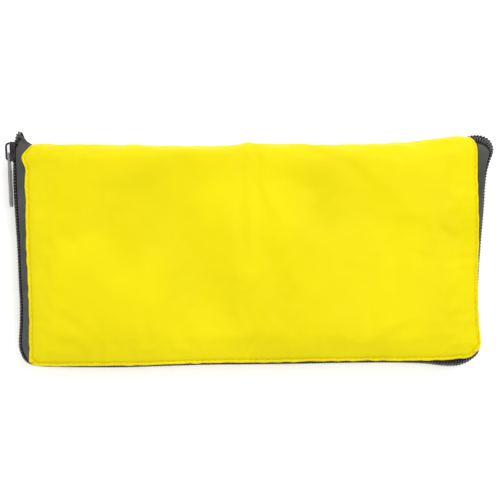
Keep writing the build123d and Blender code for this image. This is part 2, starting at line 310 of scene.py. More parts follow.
def twisted_thread():
    # Painted shade: the thread is real, but it is coloured a darker orange than the cloth, so the
    # stitching line also stands for the shadow of the groove it is sewn into.
    m = material("thread_painted_groove_shade", (0.80, 0.48, 0.004), 0.5, 0.25, 0.2)
    place = object_place(m)
    twist = node(m, "ShaderNodeTexWave", bands_direction="DIAGONAL", Scale=900.0)
    link(m, place, twist.inputs["Vector"])
    bump(m, twist.outputs["Fac"], 0.5, 0.04)
    color = varied_color(m, place, (0.66, 0.36, 0.003), (0.84, 0.53, 0.005), 400.0)
    link(m, color, shader_of(m).inputs["Base Color"])
    return m


def worn_metal(name, dark, light, low_rough, high_rough):
    m = material(name, light, low_rough, 0.5, metallic=1.0)
    place = object_place(m)
    color = varied_color(m, place, dark, light, 450.0, low=0.3, high=0.7)
    link(m, color, shader_of(m).inputs["Base Color"])
    grain = node(m, "ShaderNodeTexNoise", Scale=1400.0, Detail=3.0)
    link(m, place, grain.inputs["Vector"])
    rough = node(m, "ShaderNodeMapRange")
    rough.inputs["To Min"].default_value = low_rough
    rough.inputs["To Max"].default_value = high_rough
    link(m, grain.outputs["Fac"], rough.inputs["Value"])
    link(m, rough.outputs["Result"], shader_of(m).inputs["Roughness"])
    bump(m, grain.outputs["Fac"], 0.25, 0.02)
    return m


coil_black = moulded_coil()
core_black = fibrous_core()
thread_painted_groove_shade = twisted_thread()
gunmetal = worn_metal("gunmetal", (0.33, 0.33, 0.34), (0.44, 0.44, 0.45), 0.28, 0.42)
# Painted shade: the slider body and bail get a darkened copy of the same gunmetal.
gunmetal_painted_shade = worn_metal("gunmetal_painted_shade", (0.045, 0.038, 0.045), (0.10, 0.088, 0.10), 0.24, 0.42)

# --- The cover: one cloth over front, spine and back ---------------------------------------------
LEFT_SIDE, RIGHT_SIDE = cad_span("front_cover", "x")
MOUTH_SIDE, SPINE_SIDE = cad_span("front_cover", "y")
# Each edge of the front panel: stations along it, and how far it lies from the CAD cover's side
# there, in mm.
FRONT_LEFT = (
    [-58.5, -45, -30, -15, 0, 15, 28, 36, 39.3, 41.6, 43.4, 45.8, 48.4, 51, 53.5, 56],
    LEFT_SIDE
    + np.array(
        [2.0, 2.1, 2.0, 1.4, 0.7, 0.4, 0.2, -0.2, -0.3, 1.9, -0.2, -3.5, -1.5, 0.9, 2.6, 3.5]
    ),
)
FRONT_RIGHT = (
    [-57.5, -50, -43, -35, -25, -5, 10, 25, 40, 48, 52, 55, 58],
    RIGHT_SIDE + np.array([2.5, 3.1, 2.6, 1.9, 1.4, 1.6, 2.0, 1.7, 1.3, 1.3, 1.2, 0.3, -1.3]),
)
FRONT_MOUTH = (
    [-114, -100, -80, -62, -48, -32, -12, 10, 30, 60, 88, 100, 108, 117],
    MOUTH_SIDE
    + np.array([-1.5, -1.8, -1.6, -1.5, -1.1, -0.5, 0, 0.1, 0.6, 1.0, 1.1, 1.5, 2.2, 2.8]),
)
SPINE_LINE = (
    [-115, -100, -60, -30, -8, -1, 6, 30, 60, 84, 98, 106, 113],
    SPINE_SIDE
    + np.array([-0.4, -1.0, -1.3, -1.4, -1.1, -0.5, -1.0, -1.2, -0.7, 0.2, 1.6, 2.8, 3.6]),
)
# The cloth's height above its seam, by distance from the edge, with the dip under the stitching.
RISE = (
    [-2, 0, 0.3, 0.7, 1.05, 1.4, 1.75, 2.2, 3.0, 4.5, 6.5, 9.0, 12.0, 17.0, 26.0],
    [-0.7, -0.5, 0.4, 0.72, 0.5, -0.08, 0.45, 1.0, 1.5, 2.15, 2.85, 3.5, 3.95, 4.25, 4.4],
)
CORNER_LEFT, CORNER_RIGHT = 4.0, 8.0

last_near = EDGE_DISTANCES[-1]
middle = np.linspace(last_near + 2.2, PANEL_WIDTH - last_near - 2.2, 96)
ACROSS = np.concatenate([EDGE_DISTANCES, middle, [PANEL_WIDTH - d for d in EDGE_DISTANCES[::-1]]])
panel_rows = np.concatenate([EDGE_DISTANCES, np.linspace(last_near + 2.1, PANEL_HEIGHT, 46)])
turn = np.linspace(90, -90, 25)[1:-1]
TOTE_HALF = cad_span("tote_front_wall", "x")[1]


def from_sides(across):
    return np.minimum(across, PANEL_WIDTH - across)


def cover_point(across, along, side):
    """Across and along are mm from the left side and the mouth on the panel laid flat."""
    share = across / PANEL_WIDTH
    x = FRONT_LEFT[1][0] + (FRONT_RIGHT[1][0] - FRONT_LEFT[1][0]) * share
    low = hermite(x, *FRONT_MOUTH)
    y = low + (SPINE_START - low) * along / PANEL_HEIGHT
    left, right = hermite(y, *FRONT_LEFT), hermite(y, *FRONT_RIGHT)
    if side < 0:
        # The back lies flat under the weight, so it strays less.
        left = 0.25 * left + 0.75 * (LEFT_SIDE + 0.5)
        right = 0.25 * right + 0.75 * (RIGHT_SIDE - 0.5)
        y = y + 0.9 * (1 - along / PANEL_HEIGHT)
    x = left + (right - left) * share
    return x, y


def corner_pull(across, along):
    """Moves a square corner's points onto a round one."""
    dx, dy = np.zeros_like(across), np.zeros_like(across)
    for radius, near, sign in (
        (CORNER_LEFT, across, 1),
        (CORNER_RIGHT, PANEL_WIDTH - across, -1),
    ):
        a, b = np.clip(radius - near, 0, None), np.clip(radius - along, 0, None)
        size = np.hypot(a, b)
        keep = np.where(size > 0, np.maximum(a, b) / np.where(size > 0, size, 1), 1)
        dx += sign * a * (1 - keep)
        dy += b * (1 - keep)
    return dx, dy


def nearest_edge(across, along):
    """Distance to the sewn edge, rounded off where two edges meet."""
    rounding = 1.2
    side_part = np.exp(-from_sides(across) / rounding)
    mouth_part = np.exp(-np.minimum(along, 60) / rounding)
    return -rounding * np.log(side_part + mouth_part + 1e-30)


def puckers(across, along, seed):
    """Small gathers that the seam pulls into the cloth, fading away from it."""
    along_sides = perlin(along / 3.6, np.where(across < PANEL_WIDTH / 2, 0.0, 7.0), seed)
    along_mouth = perlin(across / 4.2, np.full_like(across, 3.0), seed + 2)
    return along_sides * np.exp(-from_sides(across) / 6.0) + along_mouth * np.exp(-along / 6.5)


def folds(x, y, seed):
    """Broad to fine waves in the cloth away from its seams."""
    broad = perlin(x / 62, y / 38, seed) * 1.2
    soft = perlin((x + 0.5 * y) / 24, (y - 0.25 * x) / 40, seed + 5) * 0.42
    fine = perlin((x - 0.8 * y) / 9, (y + 0.3 * x) / 14, seed + 9) * 0.10
    return broad + soft + fine


def pressed_shape(x, y):
    """What the folded tote, the middle crease and the gather at the mouth add to the front."""
    crease = np.exp(-(((x + 1.0 + 0.02 * (y - 50)) / 2.6) ** 2)) * smooth((y + 10) / 60) * 0.55
    dimple = np.exp(-(((x - 2.0) / 10) ** 2) - ((y + 49) / 6.5) ** 2) * 1.0
    lean_x = x - 3.0 - 0.35 * (y + 56)
    gather = np.exp(-((lean_x / 1.8) ** 2)) * 1.3 - np.exp(-(((lean_x + 4.5) / 2.4) ** 2)) * 0.6
    gather = gather * smooth((y + 58) / 5) * smooth((-36 - y) / 14)
    bundle = 0.35 * smooth((TOTE_HALF - 1 - np.abs(x)) / 7) * smooth((49 + y) / 7)
    return crease + gather - dimple + bundle - 0.3


def panel(side, rows):
    """Points from the mouth to the turn, of the front panel for side 1 or the back's for -1."""
    across, along = np.meshgrid(ACROSS, rows)
    x, y = cover_point(across, along, side)
    dx, dy = corner_pull(across, along)
    inside = nearest_edge(across, along)
    seed = 1.0 if side > 0 else 31.0
    shape = puckers(across, along, seed) * (0.75 if side > 0 else 0.4)
    wobble = perlin(along / 3.4, np.where(across < PANEL_WIDTH / 2, 11.0, 17.0), seed)
    wobble = wobble * np.exp(-from_sides(across) / 2.5)
    sway = perlin(across / 3.8, np.full_like(across, 23.0), seed) * np.exp(-along / 2.5)
    if side > 0:
        shape = shape + folds(x, y, 3.0) * smooth(inside / 14) * 0.62 + pressed_shape(x, y)
    z = MID + side * (SEAM + hermite(inside, *RISE) + shape)
    if side < 0:
        z = np.maximum(z, 0.0)
    return np.stack([x + dx + 0.75 * wobble, y + dy + 0.6 * sway, z], axis=-1)


def spine_rows():
    """The cloth's turn over the spine, as an arc squared off a little."""
    across, theta = np.meshgrid(ACROSS, np.radians(turn))
    x_top = cover_point(across, np.full_like(across, PANEL_HEIGHT), 1)[0]
    line = hermite(x_top, *SPINE_LINE)
    side = from_sides(across)
    reach = (line - SPINE_START) * (0.93 + 0.07 * smooth(side / 8))
    out = np.sign(np.cos(theta)) * np.abs(np.cos(theta)) ** 0.72
    up = np.sign(np.sin(theta)) * np.abs(np.sin(theta)) ** 0.78
    y = SPINE_START + reach * out
    turned_left, turned_right = LEFT_SIDE + 4.1, RIGHT_SIDE - 2.9
    left = np.where(theta > 0, hermite(y, *FRONT_LEFT), turned_left)
    right = np.where(theta > 0, hermite(y, *FRONT_RIGHT), turned_right)
    turned = smooth(1 - np.sin(theta) * 1.3)
    left = left + (turned_left - left) * turned
    right = right + (turned_right - right) * turned
    back = smooth(-np.sin(theta) * 1.2)
    left, right = left - 3.4 * back, right + 2.4 * back
    x = left + (right - left) * across / PANEL_WIDTH
    height = SEAM + hermite(np.minimum(side, 30), *RISE)
    ripple = perlin(x / 13, theta * 1.4, 41.0) * 0.32 + perlin(x / 38, theta * 0.8, 45.0) * 0.5
    crease = np.exp(-(((x + 1.0) / 2.4) ** 2)) * 0.6
    y = y + (ripple + crease) * np.abs(out)
    z = MID + height * up + (0.5 * ripple + 0.5 * crease) * up * (up > 0)
    return np.stack([x, y, np.maximum(z, 0.0)], axis=-1)


def whole_cover():
    """Front panel, turn and back panel in one grid, with the joins between them eased."""
    grid = np.concatenate([panel(1, panel_rows), spine_rows(), panel(-1, panel_rows)[::-1]])
    first, end = len(panel_rows) - 5, len(grid) - len(panel_rows) + 5
    for _ in range(3):
        before = grid.copy()
        beside = before[first - 1 : end - 1] * 0.25 + before[first + 1 : end + 1] * 0.25
        grid[first:end] = before[first:end] * 0.5 + beside
    grid[..., 2] = np.maximum(grid[..., 2], 0.0)
    return grid


def cloth_uv(grid):
    """Lengths along the cloth, in mm, so that the weave keeps its size over every fold."""
    along = np.linalg.norm(np.diff(grid, axis=0), axis=2).mean(axis=1)
    across = np.linalg.norm(np.diff(grid, axis=1), axis=2).mean(axis=0)
    v = np.concatenate([[0], np.cumsum(along)])
    u = np.concatenate([[0], np.cumsum(across)])
    return np.stack(np.meshgrid(u, v), axis=-1).reshape(-1, 2)


def normals_of(grid):
    """Unit normals of a grid that turns over the spine, facing away from its middle."""
    du = np.gradient(grid, axis=1)
    dv = np.gradient(grid, axis=0)
    n = np.cross(dv, du)
    n /= np.maximum(np.linalg.norm(n, axis=2, keepdims=True), 1e-9)
    outwards = (grid - np.array([0, 0, MID])) * n
    return n * np.sign(outwards[..., 2].mean() + outwards[..., 1].mean())


def sheet_piece(name, grid, m, thickness, offset=-1.0):
    piece = mesh_piece(name, grid.reshape(-1, 3), grid_faces(*grid.shape[:2]), m, cloth_uv(grid))
    thicken(piece, thickness, offset)
    return piece


SETTLE_FRAMES = 16
SETTLE_CAP = 1.1  # no point moves further than this, mm


def looseness(grid):
    """0 at the seams and on the back, 1 where the cover's cloth is free to move."""
    rows, columns = grid.shape[:2]
    across = from_sides(ACROSS)[None, :] + np.zeros((rows, 1))
    row = np.minimum(np.arange(rows), rows - 1 - np.arange(rows))
    along = panel_rows[np.minimum(row, len(panel_rows) - 1)][:, None] + np.zeros((1, columns))
    return smooth((np.minimum(across, along) - 2.0) / 7.0) * smooth((grid[..., 2] - 5.0) / 5.0)


def add_cloth(trial, loose):
    """Cloth that grows a little, held where it isn't loose."""
    held = trial.vertex_groups.new(name="held")
    for i, weight in enumerate((1 - loose).ravel()):
        held.add([i], float(weight), "REPLACE")
    modifier = trial.modifiers.new("settle", "CLOTH")
    how = modifier.settings
    how.quality = 6
    how.mass = 0.15
    how.tension_stiffness = 14
    how.compression_stiffness = 14
    how.shear_stiffness = 14
    how.bending_stiffness = 0.35
    how.shrink_min = -0.006
    how.shrink_max = -0.006
    how.vertex_group_mass = "held"
    how.effector_weights.gravity = 0
    modifier.collision_settings.use_collision = False


def settle(grid):
    """Cloth simulation: the cover is cut a little full, so it buckles between the seams."""
    loose = looseness(grid)
    trial = mesh_piece("settling", grid.reshape(-1, 3), grid_faces(*grid.shape[:2]), None)
    add_cloth(trial, loose)
    scene = bpy.context.scene
    for frame_number in range(1, SETTLE_FRAMES + 1):
        scene.frame_set(frame_number)
    evaluated = trial.evaluated_get(bpy.context.evaluated_depsgraph_get())
    points = np.zeros(grid.size)
    evaluated.data.vertices.foreach_get("co", points)
    scene.frame_set(1)
    moved = points.reshape(grid.shape) / MM - grid
    bpy.data.objects.remove(trial)
    distance = np.linalg.norm(moved, axis=2, keepdims=True)
    capped = moved * np.minimum(1, SETTLE_CAP / np.maximum(distance, 1e-9))
    return grid + capped * (loose > 0)[..., None]


cover_grid = settle(whole_cover())
cover_grid[..., 2] = np.maximum(cover_grid[..., 2], 0.0)
cover = sheet_piece("pouch_cover", cover_grid, yellow, 0.7)
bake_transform(cover)
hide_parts("front_cover", "back_cover")


def inner_grid(grid):
    """The cover's grid smoothed, moved inwards and cut back to the seam allowance."""
    grid = grid.copy()
    for _ in range(30):
        around = grid[:-2, 1:-1] + grid[2:, 1:-1] + grid[1:-1, :-2] + grid[1:-1, 2:]
        grid[1:-1, 1:-1] = 0.5 * grid[1:-1, 1:-1] + 0.125 * around
    return (grid - normals_of(grid) * 1.3)[9:-9, 9:-9]


lining = sheet_piece("pouch_lining", inner_grid(cover_grid), yellow_inside, 0.3)
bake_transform(lining)
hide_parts("front_lining", "back_lining")

# --- The zipper's loop ---------------------------------------------------------------------------
# (x, y, lean in degrees) of the coils' outer face, drawn for a CAD chain of CHAIN_HALF either side
# of the middle; the lean tips the chain's upper edge inwards.
CHAIN_HALF = (121.36, 60.5)
HOOK = [
    (-113.9, 51.0, -20), (-114.1, 54.8, -16), (-114.9, 58.3, -6), (-116.3, 60.2, 10),
    (-118.0, 60.2, 24), (-119.25, 58.2, 24), (-120.2, 55.4, 12), (-121.0, 52.6, 3),
]
LEFT_LEG = [
    (-121.1, 50.0, 0), (-120.9, 46.0, 0), (-120.95, 38, 5), (-120.7, 30, 6), (-120.3, 22, 6),
    (-119.6, 12, 5), (-118.9, 2, 2), (-118.42, -8, 0), (-118.16, -14, 0), (-117.9, -20, 0),
    (-117.5, -28, 1), (-117.6, -38, 2), (-118.0, -45.6, 2), (-117.6, -51.2, 4), (-114.6, -56.9, 6),
]
MOUTH_LEG = [
    (-108.5, -59.3, 4), (-95, -59.9, 0), (-65, -60.0, 0), (-45, -59.4, 0), (-22, -58.7, 0),
    (0, -58.5, 0), (20, -58.3, 0), (45, -57.8, 0), (70, -57.6, 4), (88, -58.0, 12),
    (100, -59.0, 20), (107.5, -58.4, 22), (113.4, -55.6, 18),
]
RIGHT_LEG = [
    (116.9, -51.4, 4), (116.6, -42, -12), (115.8, -28, -20), (115.9, -14, -22), (116.8, -1, -22),
    (117.8, 11, -22), (118.8, 23, -22), (119.4, 33, -22), (120.5, 40, -16), (122.2, 45, -6),
]
RIGHT_END = [
    (124.0, 49, 8), (123.9, 52.6, 24), (121.3, 56.2, 34), (117.2, 57.8, 36), (112.6, 57.6, 34),
    (107.5, 55.6, 26), (101, 52.4, 12),
]
LOOP = HOOK + LEFT_LEG + MOUTH_LEG + RIGHT_LEG + RIGHT_END
COIL_DEPTH = 2.3
COIL_START = 10.4  # the tape runs on past the first tooth
PITCH = 1.55  # from one tooth to the next


def through_points(p, steps):
    """A Catmull-Rom spline through the points, with its corners eased."""
    p = np.vstack([2 * p[0] - p[1], p, 2 * p[-1] - p[-2]])
    t = np.linspace(0, 1, steps, endpoint=False)[:, None]
    parts = []
    for i in range(1, len(p) - 2):
        a, b, c, d = p[i - 1 : i + 3]
        square = 2 * a - 5 * b + 4 * c - d
        cube = 3 * b - a - 3 * c + d
        parts.append(0.5 * (2 * b + (c - a) * t + square * t**2 + cube * t**3))
    dense = np.vstack(parts + [p[-2:-1]])
    for _ in range(10):
        dense[1:-1] = 0.5 * dense[1:-1] + 0.25 * (dense[:-2] + dense[2:])
    return dense


def lengths_along(path):
    return np.concatenate([[0], np.cumsum(np.linalg.norm(np.diff(path, axis=0), axis=1))])


def sampled(at, along, values):
    """Each column of values, found at new distances along a path."""
    return np.stack([np.interp(at, along, column) for column in values.T], axis=1)


def unit(vectors):
    return vectors / np.maximum(np.linalg.norm(vectors, axis=1, keepdims=True), 1e-9)


def loop_line(step):
    """The distance along the loop at even steps, (x, y, lean) there and the inward normal."""
    p = np.array(LOOP, float)
    p[:, 0] = fitted(p[:, 0], -CHAIN_HALF[0], CHAIN_HALF[0], "back_zip_coil", "x")
    p[:, 1] = fitted(p[:, 1], -CHAIN_HALF[1], CHAIN_HALF[1], "back_zip_coil", "y")
    dense = through_points(p, 24)
    along = lengths_along(dense[:, :2])
    at = np.linspace(0, along[-1], int(along[-1] / step) + 1)
    line = sampled(at, along, dense)
    tangent = unit(np.gradient(line[:, :2], axis=0))
    inward = np.stack([-tangent[:, 1], tangent[:, 0]], axis=1)
    return at, line, inward


def loop_frames(step):
    """The distance along the chain, its centre, and its upward and outward directions."""
    at, line, inward = loop_line(step)
    lean = np.radians(line[:, 2])[:, None]
    n = np.hstack([inward, np.zeros((len(inward), 1))])
    z = np.array([[0, 0, 1.0]])
    up = z * np.cos(lean) + n * np.sin(lean)
    out = -n * np.cos(lean) + z * np.sin(lean)
    centre = np.hstack([line[:, :2], np.full((len(line), 1), MID)]) + n * COIL_DEPTH / 2
    return at, centre, up, out


def tube(path, radius, sides):
    """A tube round a path; the ring's size may change along it."""
    t = unit(np.gradient(path, axis=0))
    side = np.cross(t, np.array([0, 0, 1.0]) + 0.01)
    for i in range(1, len(side)):
        carried = side[i - 1] - t[i] * (side[i - 1] @ t[i])
        side[i] = carried / np.linalg.norm(carried)
    side[0] /= np.linalg.norm(side[0])
    other = np.cross(t, side)
    angle = np.linspace(0, 2 * math.pi, sides, endpoint=False)[None, :, None]
    ring = side[:, None] * np.cos(angle) + other[:, None] * np.sin(angle)
    size = np.broadcast_to(np.asarray(radius, float), (len(path),))[:, None, None]
    points = (path[:, None] + ring * size).reshape(-1, 3)
    return points, grid_faces(len(path), sides, closed_columns=True)


def coil(name, side, phase, node_names):
    """One half of the chain, wound tooth by tooth; the halves are half a pitch apart."""
    at, centre, up, out = loop_frames(0.1)
    steps_per_turn = 12
    turns = int((at[-1] - COIL_START - 1) / PITCH)
    k = np.arange(turns * steps_per_turn) / steps_per_turn
    place = COIL_START + (k + phase) * PITCH
    angle = 2 * math.pi * k[:, None]
    across = 0.86 * np.sin(angle)
    height = 1.32 - 1.62 * np.cos(angle)
    middle = sampled(place, at, centre)
    path = middle + sampled(place, at, out) * across + sampled(place, at, up) * side * height
    piece = mesh_piece(name, *tube(path, 0.34, 6), coil_black)
    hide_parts(*node_names)
    return piece


def core(name, side, node_name):
    """The filler cord that runs inside one half's loops."""
    centre, up = loop_frames(1.0)[1:3]
    path = centre + up * side * 1.9
    piece = mesh_piece(name, *tube(path[1:-1], 0.62, 8), core_black)
    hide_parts(node_name)
    return piece


coil_front = coil("zip_coil_front", 1, 0.0, ["front_zip_coil", "front_coil_ends"])
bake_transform(coil_front)
coil_back = coil("zip_coil_back", -1, 0.5, ["back_zip_coil"])
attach(coil_back, "back")
core_front = core("coil_core_front", 1, "front_coil_cord")
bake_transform(core_front)
core_back = core("coil_core_back", -1, "back_coil_cord")
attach(core_back, "back")


def panel_edge(side):
    """The panel's sewn edge from one spine corner round the mouth to the other."""
    grid = cover_grid if side > 0 else cover_grid[::-1]
    last = len(panel_rows) + 11
    left = grid[:last, 0][::-1]
    mouth = grid[0, 1:-1]
    right = grid[:last, -1]
    return np.vstack([left, mouth, right])


def matched_edge(side, line):
    """For each station of the loop, the place on the panel's edge where its tape is sewn in."""
    edge = panel_edge(side)
    along = lengths_along(edge)
    dense = sampled(np.linspace(0, along[-1], 3000), along, edge)
    nearest = np.array([np.argmin(np.linalg.norm(dense[:, :2] - p[:2], axis=1)) for p in line])
    # Before the first tooth the tape turns back to the spine, where the edge begins.
    tail = int(COIL_START / np.linalg.norm(line[1] - line[0])) + 1
    nearest[:tail] = np.linspace(0, nearest[tail], tail)
    nearest = np.maximum.accumulate(nearest).astype(float)
    padded = np.concatenate([np.full(4, nearest[0]), nearest, np.full(4, nearest[-1])])
    at = np.convolve(padded, np.ones(9) / 9, "valid")
    return sampled(at, np.arange(len(dense)), dense)


def tape_columns(side, centre, up, out):
    """Lines along the tape: beside the coil, over its shoulder, to the seam and inside it."""
    edge = matched_edge(side, centre)
    edge = edge - np.array([0, 0, side * 0.15])
    n = unit(np.stack([-np.gradient(edge[:, 1]), np.gradient(edge[:, 0])], axis=1))
    inside = edge + np.hstack([n * 2.6, np.full((len(n), 1), side * 0.25)])
    back = centre - out * (COIL_DEPTH / 2 - 0.25)
    columns = [back + up * side * h for h in (-0.15, 1.6, 3.2, 4.4)]
    rim = columns[-1]
    for share in (0.2, 0.42, 0.66, 0.85):
        bow = 0.35 * math.sin(math.pi * share)
        columns.append(rim + (edge - rim) * share + np.array([0, 0, side * bow]))
    return columns + [edge, inside]


def zip_tape(name, side, node_names):
    at, centre, up, out = loop_frames(1.3)
    grid = np.stack(tape_columns(side, centre, up, out), axis=1)
    faces = grid_faces(*grid.shape[:2])
    if side > 0:
        faces = [f[::-1] for f in faces]
    steps = np.linalg.norm(np.diff(grid, axis=1), axis=2).mean(axis=0)
    width = np.concatenate([[0], np.cumsum(steps)])
    uv = np.stack(np.meshgrid(width, at), axis=-1).reshape(-1, 2)
    piece = mesh_piece(name, grid.reshape(-1, 3), faces, tape_grey, uv)
    thicken(piece, 0.5)
    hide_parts(*node_names)
    return piece


tape_front = zip_tape("zip_tape_front", 1, ["front_zip_tape", "front_tape_ends"])
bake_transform(tape_front)
tape_back = zip_tape("zip_tape_back", -1, ["back_zip_tape"])
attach(tape_back, "back")


# --- Topstitching and inner binding --------------------------------------------------------------
def inset_path(side, distance, rows_past_spine=0):
    """A line on the cover at a distance from its sewn edge."""
    grid = cover_grid if side > 0 else cover_grid[::-1]
    column = int(np.argmin(np.abs(ACROSS - distance)))
    row = int(np.argmin(np.abs(panel_rows - distance)))
    last = len(panel_rows) + rows_past_spine
    left = grid[row:last, column][::-1]
    mouth = grid[row, column + 1 : -column - 1]
    right = grid[row:last, -column - 1]
    return np.vstack([left, mouth, right])


def resampled(path, step):
    along = lengths_along(path)
    return sampled(np.arange(0, along[-1], step), along, path)


def stitches(name, side):
    """Thread that comes up, runs over the cloth and goes down again, stitch by stitch."""
    path = resampled(inset_path(side, 1.4, 6), 0.25)
    up = np.array([0, 0, side])
    points, faces = [], []
    length, pitch = 9, 12  # in steps of the path
    for start in range(0, len(path) - length - 1, pitch):
        run = path[start : start + length + 1]
        arch = np.sin(math.pi * np.linspace(0, 1, len(run)))
        run = run + up * (0.12 * arch[:, None] - 0.04)
        stitch_points, stitch_faces = tube(run, 0.16 * (0.55 + 0.45 * arch**0.4), 6)
        faces += [tuple(i + len(points) for i in face) for face in stitch_faces]
        points += stitch_points.tolist()
    piece = mesh_piece(name, points, faces, thread_painted_groove_shade)
    return piece


stitch_front = stitches("topstitch_front", 1)
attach(stitch_front, "front")
stitch_back = stitches("topstitch_back", -1)
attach(stitch_back, "back")


def binding(name, side, node_name):
    """Tape folded over the raw edges inside the seam."""
    step = 2.0
    path = resampled(inset_path(side, 5.5, -9), step)
    path[:, 2] = MID + side * (SEAM - 0.8)
    t = unit(np.gradient(path, axis=0))
    across = np.stack([-t[:, 1], t[:, 0], np.zeros(len(t))], axis=1)
    wave = 0.1 * np.sin(np.arange(len(path)) * 0.9)[:, None]
    top = [(-1.9, 0.0), (-1.8, 0.55), (0, 0.72), (1.8, 0.55)]
    profile = top + [(-a, -b) for a, b in top]
    rings = np.stack([path + across * (a + wave) + np.array([0, 0, b]) for a, b in profile], axis=1)
    faces = grid_faces(len(path), len(profile), closed_columns=True)
    uv = np.meshgrid(np.arange(len(profile)) * 1.2, np.arange(len(path)) * step)
    uv = np.stack(uv, axis=-1).reshape(-1, 2)
    piece = mesh_piece(name, rings.reshape(-1, 3), faces, tape_grey, uv)
    subdivide(piece)
    apply_modifiers(piece)
    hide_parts(node_name)
    return piece


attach(binding("seam_binding_front", 1, "front_seam_binding"), "front")
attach(binding("seam_binding_back", -1, "back_seam_binding"), "back")


# --- Slider and pull: the CAD's own shapes with eased edges --------------------------------------
def eased(name, width, finish):
    piece = frame["nodes"][name]
    piece.data.materials.clear()
    piece.data.materials.append(finish)
    ease = piece.modifiers.new("ease", "BEVEL")
    ease.width = width * MM
    ease.segments = 2
    ease.limit_method = "ANGLE"
    ease.angle_limit = math.radians(35)


eased("slider_body", 0.18, gunmetal_painted_shade)
eased("slider_bail", 0.28, gunmetal_painted_shade)
eased("pull_tab", 0.22, gunmetal)

# --- The folded tote -----------------------------------------------------------------------------
PASSES = 4
FOLD_Y = cad_span("tote_top_hem", "y")[1]  # the passes run from -FOLD_Y to FOLD_Y
WALL_OFFSET = 0.95  # each wall lies this far from the middle of a pass
GUSSET_OFFSET = 0.42
GUSSET_ROOM = GUSSET_OFFSET + 0.025
lowest, highest = cad_span("tote_left_gusset", "z")
FIRST = lowest + GUSSET_ROOM
PASS_PITCH = (highest - lowest - 2 * GUSSET_ROOM) / (PASSES - 1)


def slump(grid):
    """The whole bundle lies a little uneven, all its layers together."""
    x, y, z = grid[..., 0], grid[..., 1], grid[..., 2]
    share = smooth(z / 16)
    sag = perlin(x / 34, y / 24, 101.0) * 1.1 + perlin(x / 14, y / 18, 103.0) * 0.3
    grid[..., 2] = z + share * sag
    grid[..., 1] = y + share * perlin(x / 40, np.full_like(x, 2.0), 105.0) * 1.4
    return grid


def fold_line(distance):
    """(y, z, facing) along the zigzag, at a distance from the middle of each pass."""
    out = []
    for number in range(PASSES):
        flip = -1 if number % 2 else 1
        z = FIRST + number * PASS_PITCH + flip * distance
        ys = np.linspace(FOLD_Y * flip, -FOLD_Y * flip, int(2 * FOLD_Y / 2.6))
        out += [(y, z, flip) for y in ys]
        if number < PASSES - 1:
            radius = PASS_PITCH / 2 - flip * distance
            for a in np.linspace(0, math.pi, 9)[1:-1]:
                y = -flip * (FOLD_Y + radius * math.sin(a))
                out.append((y, z + radius * (1 - math.cos(a)), flip * math.cos(a)))
    return np.array(out)


def ply(name, node_name, xs, seed, thickness, room, distance=0.0, depth=0.0):
    """One layer of the folded tote; depth moves each column to one side of the zigzag."""
    y, z, facing = (column[:, None] for column in fold_line(distance).T)
    grid = np.stack(np.broadcast_arrays(xs[None, :], y, z + facing * depth), axis=-1)
    row = np.arange(len(grid))[:, None]
    grid[..., 2] += perlin(grid[..., 0] / 26, row / 9, seed) * room
    grid[..., 1] += perlin(grid[..., 0] / 40, grid[..., 2] / 3, seed + 3) * 0.7
    piece = sheet_piece(name, slump(grid), tote_yellow, thickness)
    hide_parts(node_name)
    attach(piece, "back")
    return piece


def wall(name, node_name, distance, seed):
    xs = np.linspace(-TOTE_HALF + 0.3, TOTE_HALF - 0.3, 90)
    return ply(name, node_name, xs, seed, thickness=0.28, room=0.17, distance=distance)


def gusset(name, node_name, side, seed):
    """One sheet folded in between the walls, with its crease deep inside."""
    q = np.linspace(-1, 1, 61)
    crease = cad_span("tote_right_gusset", "x")[0] + 0.2
    x = side * (crease + (TOTE_HALF - 0.6 - crease) * np.abs(q))
    depth = GUSSET_OFFSET * np.sign(q) * np.minimum(1, np.abs(q) * 8)
    if side < 0:
        x, depth = x[::-1], depth[::-1]
    piece = ply(name, node_name, x, seed, thickness=0.2, room=0.08, depth=depth)


outer_wall = wall("tote_wall_outer", "tote_front_wall", -WALL_OFFSET, 60.0)
inner_wall = wall("tote_wall_inner", "tote_back_wall", WALL_OFFSET, 64.0)
gusset("tote_gusset_left", "tote_left_gusset", -1, 70.0)
gusset("tote_gusset_right", "tote_right_gusset", 1, 74.0)


def flat_grid(node_name, z, seed, wave=0.12, across=None):
    """A nearly flat grid over a CAD strip's own extent, or over part of its width."""
    inset = 0.2
    low, high = cad_span(node_name, "x")
    x0, x1 = across or (low + inset, high - inset)
    y0, y1 = cad_span(node_name, "y")
    nx, ny = max(6, int((x1 - x0) / 3)), max(5, int((y1 - y0) / 2.5))
    x, y = np.meshgrid(np.linspace(x0, x1, nx), np.linspace(y0 + inset, y1 - inset, ny))
    return slump(np.stack([x, y, z + perlin(x / 19, y / 12, seed) * wave], axis=-1))


def patch_pair(node_name, z, seed, wave):
    """Two patches, one at each end of the CAD node."""
    low, high = cad_span(node_name, "x")
    spans = ((low, low + PATCH_WIDTH), (high - PATCH_WIDTH, high))
    return [flat_grid(node_name, z, seed, wave, span) for span in spans]


def strips(name, node_name, grids, m, thickness):
    """One or more flat strips as a single piece."""
    points, faces, uvs = [], [], []
    for grid in grids:
        start = len(points)
        faces += [tuple(i + start for i in f) for f in grid_faces(*grid.shape[:2])]
        points += grid.reshape(-1, 3).tolist()
        uvs += cloth_uv(grid).tolist()
    piece = mesh_piece(name, points, faces, m, uvs)
    thicken(piece, thickness, offset=1.0)
    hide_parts(node_name)
    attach(piece, "back")


def fabric_strips(name, node_name, grids):
    strips(name, node_name, grids, tote_yellow, 0.28)


